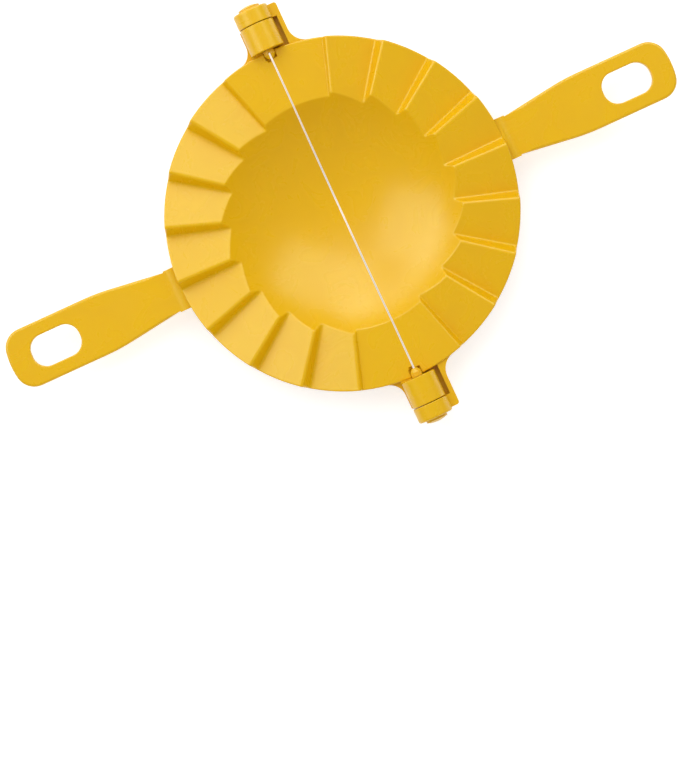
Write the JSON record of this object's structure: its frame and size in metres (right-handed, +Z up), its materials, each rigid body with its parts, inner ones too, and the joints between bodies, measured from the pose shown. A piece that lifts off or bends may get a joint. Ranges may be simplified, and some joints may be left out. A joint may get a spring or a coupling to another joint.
{
  "type": "empanada press",
  "caption": "Hinged round dough press lying open: half bowls with ramp-crimped rims, slotted flat handles and snap-pin knuckles, folding shut to seal a filled turnover.",
  "frame": {"origin": "on the surface that the open press stands on, under the middle of its disc", "axes": "+X along the handles, from the tongue half towards the fork half; +Y along the hinge line; +Z up, out of the open bowls"},
  "size_m": [0.312, 0.1954, 0.0321],
  "materials": {
    "press_body": "satin moulded plastic, mustard yellow",
    "hinge_pin": "satin moulded plastic, mustard yellow"
  },
  "bodies": {
    "fork": {"fork_half": "press_body", "hinge_pin_rear": "hinge_pin", "hinge_pin_front": "hinge_pin"},
    "tongue": {"tongue_half": "press_body"}
  },
  "joints": [
    {"name": "fold", "type": "hinge", "parent": "fork", "child": "tongue", "pos_m": [0, 0, 0.02432], "axis": [0, 1, 0], "range_deg": [0, 180]}
  ]
}
